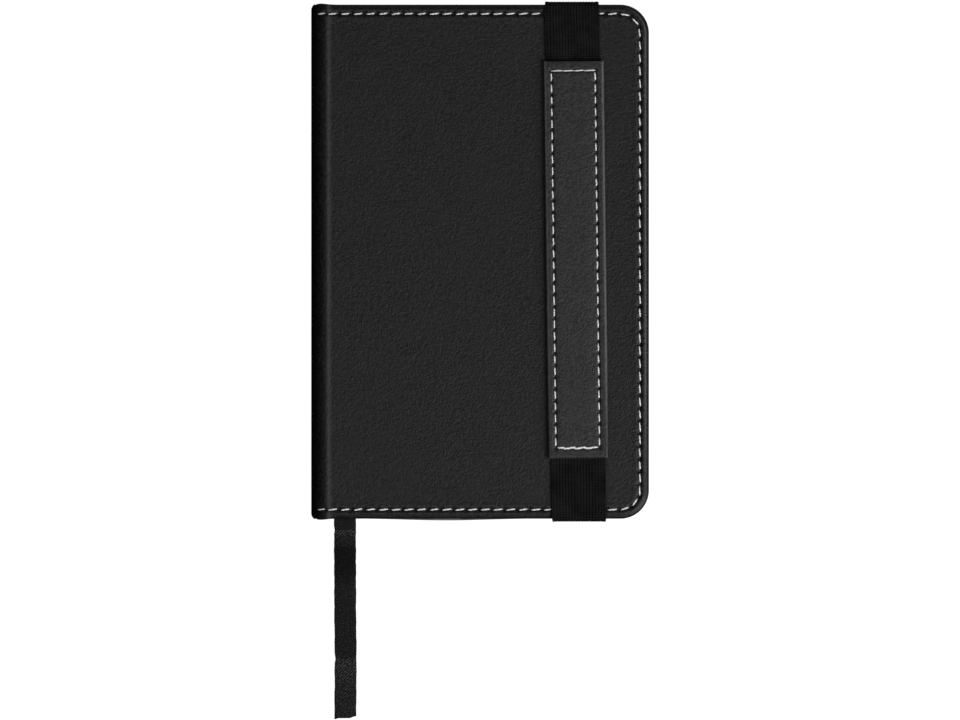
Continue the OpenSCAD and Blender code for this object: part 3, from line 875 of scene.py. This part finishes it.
def add_folded_sheet(bm, fold_x, fore_x, half_h, low_z, high_z, thick):
    """A sheet folded once at the spine: two leaves joined by a round fold, each a little out of line."""
    stations = leaf_stations(fold_x, fore_x)

    def strip(x_out, z_low, z_high):
        """One face in section: along the lower leaf, round the fold and back along the upper leaf."""
        middle, radius = (z_low + z_high) / 2, (z_high - z_low) / 2
        turns = [math.pi * k / 6 for k in range(7)]
        fold = [(x_out + radius - radius * math.sin(a), middle - radius * math.cos(a)) for a in turns]
        return [(x, z_low) for x in stations] + fold + [(x, z_high) for x in reversed(stations)]

    outer = strip(fold_x, low_z, high_z)
    inner = strip(fold_x + thick, low_z + thick, high_z - thick)
    drift = [rng.uniform(-0.11, 0.05) * MM for _ in range(2)]
    slip = [rng.uniform(-0.08, 0.08) * MM for _ in range(2)]
    rings = []
    for i, ((xo, zo), (xi, zi)) in enumerate(zip(outer, inner)):
        leaf = 0 if i < len(outer) / 2 else 1
        share = smooth01((xo - fold_x) / (20 * MM))
        dx, dy = drift[leaf] * share, slip[leaf] * share
        reach, reach_in = (page_reach(x, fore_x, half_h) for x in (xo, xi))
        rings.append([(xo + dx, -reach + dy, zo), (xo + dx, reach + dy, zo),
                      (xi + dx, reach_in + dy, zi), (xi + dx, -reach_in + dy, zi)])
    skin_rings(bm, rings)


def settle_pages(obj, turns):
    """Pages that turn are left where they are, with their transform baked in; the others stay with the block.
    """
    if not turns:
        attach(obj, "book_block")
        return
    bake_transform(obj)


def make_signature(node):
    """The leaves of one signature: folded sheets, one inside the other."""
    air = 0.004 * MM
    low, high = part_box(node)
    bm = bmesh.new()
    pitch = (high.z - low.z) / LEAVES
    for k in range(LEAVES // 2):
        gap = k * pitch
        low_z, high_z = low.z + gap + air, high.z - gap - air
        add_folded_sheet(bm, low.x + gap * 0.9, high.x, high.y, low_z, high_z, pitch * 0.86)
    name = node.replace("signature", "leaves")
    leaves = dress(finish_mesh(name, bm, sharp_deg=45, merge=1e-8), "page_paper")
    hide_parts(node)
    settle_pages(leaves, node in FRONT_SIGNATURES)


for signature in SIGNATURES:
    make_signature(signature)


def make_flyleaf(node, turns):
    low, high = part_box(node)
    rings = []
    for x in leaf_stations(low.x, high.x) + [low.x]:
        reach = page_reach(x, high.x, high.y)
        rings.append([(x, -reach, low.z), (x, reach, low.z), (x, reach, high.z), (x, -reach, high.z)])
    bm = bmesh.new()
    skin_rings(bm, rings)
    leaf = dress(finish_mesh(node + "_sheet", bm, sharp_deg=45, merge=1e-8), "endpaper")
    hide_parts(node)
    settle_pages(leaf, turns)


make_flyleaf("front_flyleaf", True)
make_flyleaf("back_flyleaf", False)


# ------------ closure strap
def strap_x(y):
    """Middle of the elastic at a height on the cover: it leans a little, and somewhat more near the head."""
    centre = (elastic_low.x + elastic_high.x) / 2
    lean = (elastic_high.x - elastic_low.x - ELASTIC_W) / 2
    near_head = smooth01((y - 0.6 * HALF_H) / (0.4 * HALF_H))
    return centre - lean * y / elastic_high.y - 0.3 * MM * near_head


FLAT_STEPS = 32
RIBBED_HALF = RIB_PITCH * 7.5


def elastic_loop():
    """The band's middle line as (y, z): over the front, down the head, along inside and up the tail."""
    turn, small_turn = 1.0 * MM, 0.5 * MM
    y_out = elastic_high.y - ELASTIC_T / 2
    z_top, z_low = elastic_high.z - ELASTIC_T / 2, elastic_low.z + ELASTIC_T / 2
    points = []

    def straight(start, finish, steps):
        points.extend(between(start, finish, k / steps) for k in range(steps))

    def bend(centre_y, centre_z, radius, quarter, steps):
        for k in range(steps):
            a = math.pi / 2 * (quarter + k / steps)
            points.append((centre_y + radius * math.sin(a), centre_z + radius * math.cos(a)))

    straight((-y_out + turn, z_top), (y_out - turn, z_top), FLAT_STEPS)
    bend(y_out - turn, z_top - turn, turn, 0, 6)
    straight((y_out, z_top - turn), (y_out, z_low + small_turn), 9)
    bend(y_out - small_turn, z_low + small_turn, small_turn, 1, 4)
    straight((y_out - small_turn, z_low), (-y_out + small_turn, z_low), 24)
    bend(-y_out + small_turn, z_low + small_turn, small_turn, 2, 4)
    straight((-y_out, z_low + small_turn), (-y_out, z_top - turn), 9)
    bend(-y_out + turn, z_top - turn, turn, 3, 6)
    return points


def elastic_half_thickness(across):
    """Half the band's thickness at a place across it: ribs, then a raised selvedge with a round edge."""
    out = abs(across)
    if out <= RIBBED_HALF:
        rise = math.cos(2 * math.pi * across / RIB_PITCH)
    else:
        rise = min(1.0, (out - RIBBED_HALF) / (0.3 * MM))
    thick = ELASTIC_T / 2 - 0.07 * MM + 0.05 * MM * rise
    return thick * (1 - 0.5 * math.exp(-(ELASTIC_W / 2 - out) / (0.05 * MM)))


def make_elastic():
    """Ribbed webbing in a closed loop, round over the cover's edges and thicker at its selvedges."""
    narrowing, fold_run, seam_step = 0.028, 1.2 * MM, 0.5 * MM
    half = ELASTIC_W / 2
    y_out = elastic_high.y - ELASTIC_T / 2
    edge = np.array([0.0, 0.04, 0.15, 0.3, 0.6, 0.9]) * MM
    ribs = np.linspace(-RIBBED_HALF, RIBBED_HALF, 15 * 8 + 1)
    places = np.concatenate([edge - half, ribs, (half - edge)[::-1]])
    profile = [(across, elastic_half_thickness(across)) for across in places]
    points = elastic_loop()
    bm = bmesh.new()
    layer = bm.loops.layers.uv.new("UVMap")
    rows, coords = [], {}
    travelled = 0.0
    for i, (y, z) in enumerate(points):
        (last_y, last_z), (next_y, next_z) = points[i - 1], points[(i + 1) % len(points)]
        if i:
            travelled += math.hypot(y - last_y, z - last_z)
        run_y, run_z = next_y - last_y, next_z - last_z
        size = math.hypot(run_y, run_z)
        out_y, out_z = (0.0, 1.0) if i <= FLAT_STEPS else (-run_z / size, run_y / size)
        narrow = 1 - narrowing * smooth01((abs(y) - y_out + fold_run) / fold_run)
        row = []
        for face in (1, -1):
            for across, thick in profile[::face]:
                shift = face * thick
                vert = bm.verts.new((strap_x(y) + across * narrow, y + out_y * shift, z + out_z * shift))
                coords[vert] = (across, travelled)
                row.append(vert)
        rows.append(row)
    wide = len(rows[0])
    for i, a in enumerate(rows):
        b = rows[(i + 1) % len(rows)]
        for k in range(wide):
            face = bm.faces.new((a[k], a[(k + 1) % wide], b[(k + 1) % wide], b[k]))
            for loop in face.loops:
                u, v = coords[loop.vert]
                if i == len(rows) - 1 and v == 0.0:
                    v = travelled + seam_step
                loop[layer].uv = (u, v)
    band = dress(finish_mesh("elastic_webbing_band", bm, sharp_deg=60, merge=1e-8), "elastic_webbing")
    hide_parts("elastic_band")
    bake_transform(band)


make_elastic()

PANEL_X = (panel_low.x + panel_high.x) / 2
PANEL_Y = (panel_low.y + panel_high.y) / 2
PANEL_T = panel_high.z - panel_low.z
PANEL_ANGLE = math.atan2(elastic_high.x - elastic_low.x - ELASTIC_W, 2 * elastic_high.y)
PANEL_LEFT, PANEL_RIGHT, PANEL_END = 2.05 * MM, 2.45 * MM, 2.6 * MM
PANEL_PITCH = 3.2 * MM
TAIL_ROW_IN = 0.4 * MM


def on_panel(x, y, z):
    """A point on the panel, from its own axes into the frame's."""
    c, s = math.cos(PANEL_ANGLE), math.sin(PANEL_ANGLE)
    return Vector((PANEL_X + x * c - y * s, PANEL_Y + x * s + y * c, panel_low.z + z))


def panel_rows():
    """The four rows of stitches, left, head, right and tail, as (start, end)."""
    x0, x1 = -PANEL_W / 2 + PANEL_LEFT, PANEL_W / 2 - PANEL_RIGHT
    y1 = PANEL_L / 2 - PANEL_END
    y0 = -y1 + TAIL_ROW_IN
    return [((x0, y0), (x0, y1)), ((x0, y1), (x1, y1)), ((x1, y1), (x1, y0)), ((x1, y0), (x0, y0))]


def panel_holes():
    holes = []
    for start, end in panel_rows():
        count = round(math.dist(start, end) / PANEL_PITCH)
        holes += [between(start, end, k / count) for k in range(count)]
    return holes


PANEL_HOLES = panel_holes()


def panel_height(x, y):
    """Height of the panel's top face: rounded edges, a groove along the stitches, and needle holes."""
    edge_r, groove_d, groove_r, groove_in = 0.55 * MM, 0.14 * MM, 0.45 * MM, 0.5 * MM
    hole_d, hole_r, least = 0.34 * MM, 0.4 * MM, 0.3 * MM
    left, right = x + PANEL_W / 2, PANEL_W / 2 - x
    end = PANEL_L / 2 - np.abs(y)
    edge = np.minimum(np.minimum(left, right), end)
    run = np.clip(edge_r - edge, 0, edge_r)
    z = PANEL_T - (edge_r - np.sqrt(edge_r ** 2 - run ** 2))
    gap = np.minimum(np.abs(left - PANEL_LEFT), np.abs(right - PANEL_RIGHT))
    gap = np.minimum(gap, np.abs(end - PANEL_END - np.where(y < 0, TAIL_ROW_IN, 0)))
    inset = np.minimum(np.minimum(left - PANEL_LEFT, right - PANEL_RIGHT), end - PANEL_END)
    z -= groove_d * np.exp(-(np.where(inset > -groove_in, gap, 9) / groove_r) ** 2)
    z -= hole_d * np.exp(-nearest_hole(x, y, PANEL_HOLES) / hole_r ** 2)
    return np.maximum(z, least)


def grid_lines(half, rows):
    """Places across the panel that are close together at its edges and along its rows of stitches."""
    near_row = (-0.9, -0.6, -0.4, -0.25, -0.12, 0, 0.12, 0.25, 0.4, 0.6, 0.9)
    near_edge = (0.0, 0.03, 0.12, 0.28, 0.55, 0.9)
    lines = [row + d * MM for row in rows for d in near_row]
    return lines + [-half + d * MM for d in near_edge] + [half - d * MM for d in near_edge]


def panel_painted_highlight(x, y, z):
    """Painted highlights of the panel: its long edges, less towards the tail, and its head edge."""
    along_x, along_y = math.cos(PANEL_ANGLE), math.sin(PANEL_ANGLE)
    across = (x - PANEL_X) * along_x + (y - PANEL_Y) * along_y
    along = (y - PANEL_Y) * along_x - (x - PANEL_X) * along_y
    side = np.exp(-((PANEL_W / 2 - np.abs(across) - 0.3 * MM) / (0.28 * MM)) ** 2)
    end = np.exp(-((PANEL_L / 2 - np.abs(along) - 0.3 * MM) / (0.25 * MM)) ** 2)
    fade = 0.25 + 0.75 * smooth01((along + 0.5 * PANEL_L) / (0.3 * PANEL_L))
    painted_highlight = side * fade * np.where(across > 0, 1.0, 0.75) + 0.25 * end * (along > 0)
    return np.minimum(painted_highlight, 1.2) * (z > panel_low.z + 0.3 * MM)


def make_panel():
    """Leatherette strip over its card: one closed form, on a grid that is fine along the stitches."""
    half_w, half_l, inside = PANEL_W / 2, PANEL_L / 2, PANEL_L / 2 - 3.4 * MM
    xs = grid_lines(half_w, (-half_w + PANEL_LEFT, half_w - PANEL_RIGHT)) + [d * MM for d in (-4, -2, 0, 2)]
    ys = grid_lines(half_l, (-half_l + PANEL_END, half_l - PANEL_END))
    ys += list(np.linspace(-inside, inside, round(PANEL_L / (0.4 * MM))))
    xs, ys = sorted(set(np.round(xs, 7))), sorted(set(np.round(ys, 7)))
    grid_x, grid_y = np.meshgrid(xs, ys)
    height = panel_height(grid_x, grid_y)
    bm = bmesh.new()
    top = [[bm.verts.new(on_panel(x, y, h)) for x, y, h in zip(*row)] for row in zip(grid_x, grid_y, height)]
    for lower, upper in zip(top, top[1:]):
        for c in range(len(xs) - 1):
            bm.faces.new((lower[c], lower[c + 1], upper[c + 1], upper[c]))
    rim = top[0] + [row[-1] for row in top[1:]] + top[-1][-2::-1] + [row[0] for row in top[-2:0:-1]]
    down = [bm.verts.new((v.co.x, v.co.y, panel_low.z)) for v in rim]
    for k in range(len(rim)):
        n = (k + 1) % len(rim)
        bm.faces.new((rim[n], rim[k], down[k], down[n]))
    bm.faces.new(down)
    panel = dress(finish_mesh("strap_panel_leather", bm), "panel_leatherette")
    # painted highlights: a lighter colour along the panel's edges
    mark_painted_highlight(panel, panel_painted_highlight)
    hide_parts("strap_panel")
    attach(panel, "closure_strap")


make_panel()


def make_panel_stitching():
    """Stitches that nearly meet at the head, and a doubled row of thicker ones at the tail."""
    up = Vector((0, 0, 1))
    bm = bmesh.new()
    for row, ((ax, ay), (bx, by)) in enumerate(panel_rows()):
        run = math.hypot(bx - ax, by - ay)
        count = round(run / PANEL_PITCH)
        step = run / count
        ux, uy = (bx - ax) / run, (by - ay) / run
        head, tail = row == 1, row == 3
        half_share = 0.53 if head else 0.34
        radius = (0.17 if head else 0.26 if tail else 0.2) * MM
        passes = [(0.0, 0.0, count)] + ([(0.5, 0.2 * MM, count - 1)] if tail else [])
        for shift, side, stitches in passes:
            for k in range(stitches):
                middle = (k + 0.5 + shift) * step
                half = half_share * step * random.uniform(0.95, 1.04)
                slant = random.uniform(0.03, 0.09) * MM
                ends = []
                for sign in (-1, 1):
                    s = middle + sign * half
                    off = slant * sign + side
                    ends.append(on_panel(ax + ux * s - uy * off, ay + uy * s + ux * off, PANEL_T - 0.10 * MM))
                add_stitch(bm, *ends, up, radius, 0.16 * MM)
    thread = dress(finish_mesh("strap_panel_thread", bm, sharp_deg=80, merge=1e-8), "white_thread")
    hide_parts("strap_stitching")
    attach(thread, "closure_strap")


make_panel_stitching()


# ------------ floor and light
def make_stage():
    """A plain white floor that gives off its own light."""
    bm = bmesh.new()
    bmesh.ops.create_grid(bm, x_segments=2, y_segments=2, size=3.0)
    mesh = bpy.data.meshes.new("floor")
    bm.to_mesh(mesh)
    bm.free()
    floor = new_object("floor", mesh)
    floor.location.z = -0.05 * MM
    material, tree, shader = new_material("floor", 0.9)
    shader.inputs["Base Color"].default_value = (0.12, 0.12, 0.12, 1)
    shader.inputs["Specular IOR Level"].default_value = 0.0
    shader.inputs["Emission Color"].default_value = (1, 1, 1, 1)
    shader.inputs["Emission Strength"].default_value = 1.0
    floor.data.materials.append(material)
    floor.visible_glossy = False
    floor.visible_diffuse = False


def add_light(name, location, target, size, power):
    data = bpy.data.lights.new(name, "AREA")
    data.shape = "RECTANGLE"
    data.size, data.size_y = size
    data.energy = power
    light = bpy.data.objects.new(name, data)
    light.location = location
    light.rotation_euler = (Vector(target) - Vector(location)).to_track_quat("-Z", "Y").to_euler()
    bpy.context.scene.collection.objects.link(light)


def make_lights():
    target = (0, -0.02, 0)
    add_light("overhead", (-0.05, -0.3, 1.5), target, (1.3, 1.0), 3.5)
    add_light("key", (0.62, -0.45, 0.72), target, (0.2, 0.9), 10)
    add_light("fill", (-1.3, 0.3, 0.3), target, (0.8, 0.8), 0.02)
    add_light("rear", (0.15, 1.2, 0.2), target, (0.9, 0.4), 2.2)
    world = bpy.data.worlds.new("world")
    world.use_nodes = True
    world.node_tree.nodes["Background"].inputs["Color"].default_value = (1, 1, 1, 1)
    world.node_tree.nodes["Background"].inputs["Strength"].default_value = 0.002
    bpy.context.scene.world = world
    bpy.context.scene.view_settings.view_transform = "Standard"


make_stage()
make_lights()
